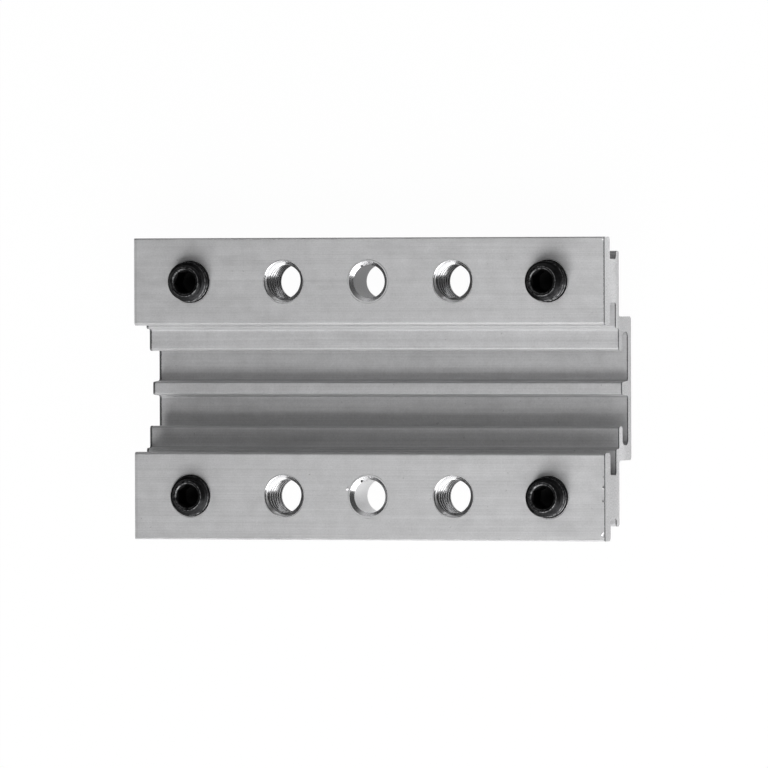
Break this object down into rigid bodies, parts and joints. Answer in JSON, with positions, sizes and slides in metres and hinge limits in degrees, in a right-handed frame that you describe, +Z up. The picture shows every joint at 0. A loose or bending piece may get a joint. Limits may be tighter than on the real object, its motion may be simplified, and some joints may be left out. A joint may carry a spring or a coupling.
{
  "type": "straight joining plate",
  "caption": "Straight joiner of slotted aluminium extrusion that slides into two butted rails and is clamped there by socket set screws.",
  "frame": {"origin": "centre of the flat back face that the plate lies on", "axes": "+X along the extrusion, +Y across its two flanges, +Z up out of the back face, the way the set screws stand"},
  "size_m": [0.1, 0.06, 0.0186],
  "materials": {
    "mill_finish_aluminium": "mill-finish extrusion with faint lengthwise grain and sawn ends",
    "black_oxide_steel": "black oxide"
  },
  "bodies": {
    "plate": {"joiner_body": "mill_finish_aluminium"},
    "set_screw_left_front": {"set_screw_left_front": "black_oxide_steel"},
    "set_screw_right_front": {"set_screw_right_front": "black_oxide_steel"},
    "set_screw_left_rear": {"set_screw_left_rear": "black_oxide_steel"},
    "set_screw_right_rear": {"set_screw_right_rear": "black_oxide_steel"}
  },
  "joints": [
    {"name": "set_screw_left_front_travel", "type": "slide", "parent": "plate", "child": "set_screw_left_front", "axis": [0, 0, 1], "range_m": [-0.005, 0.0025]},
    {"name": "set_screw_right_front_travel", "type": "slide", "parent": "plate", "child": "set_screw_right_front", "axis": [0, 0, 1], "range_m": [-0.005, 0.0025]},
    {"name": "set_screw_left_rear_travel", "type": "slide", "parent": "plate", "child": "set_screw_left_rear", "axis": [0, 0, 1], "range_m": [-0.005, 0.0025]},
    {"name": "set_screw_right_rear_travel", "type": "slide", "parent": "plate", "child": "set_screw_right_rear", "axis": [0, 0, 1], "range_m": [-0.005, 0.0025]}
  ]
}
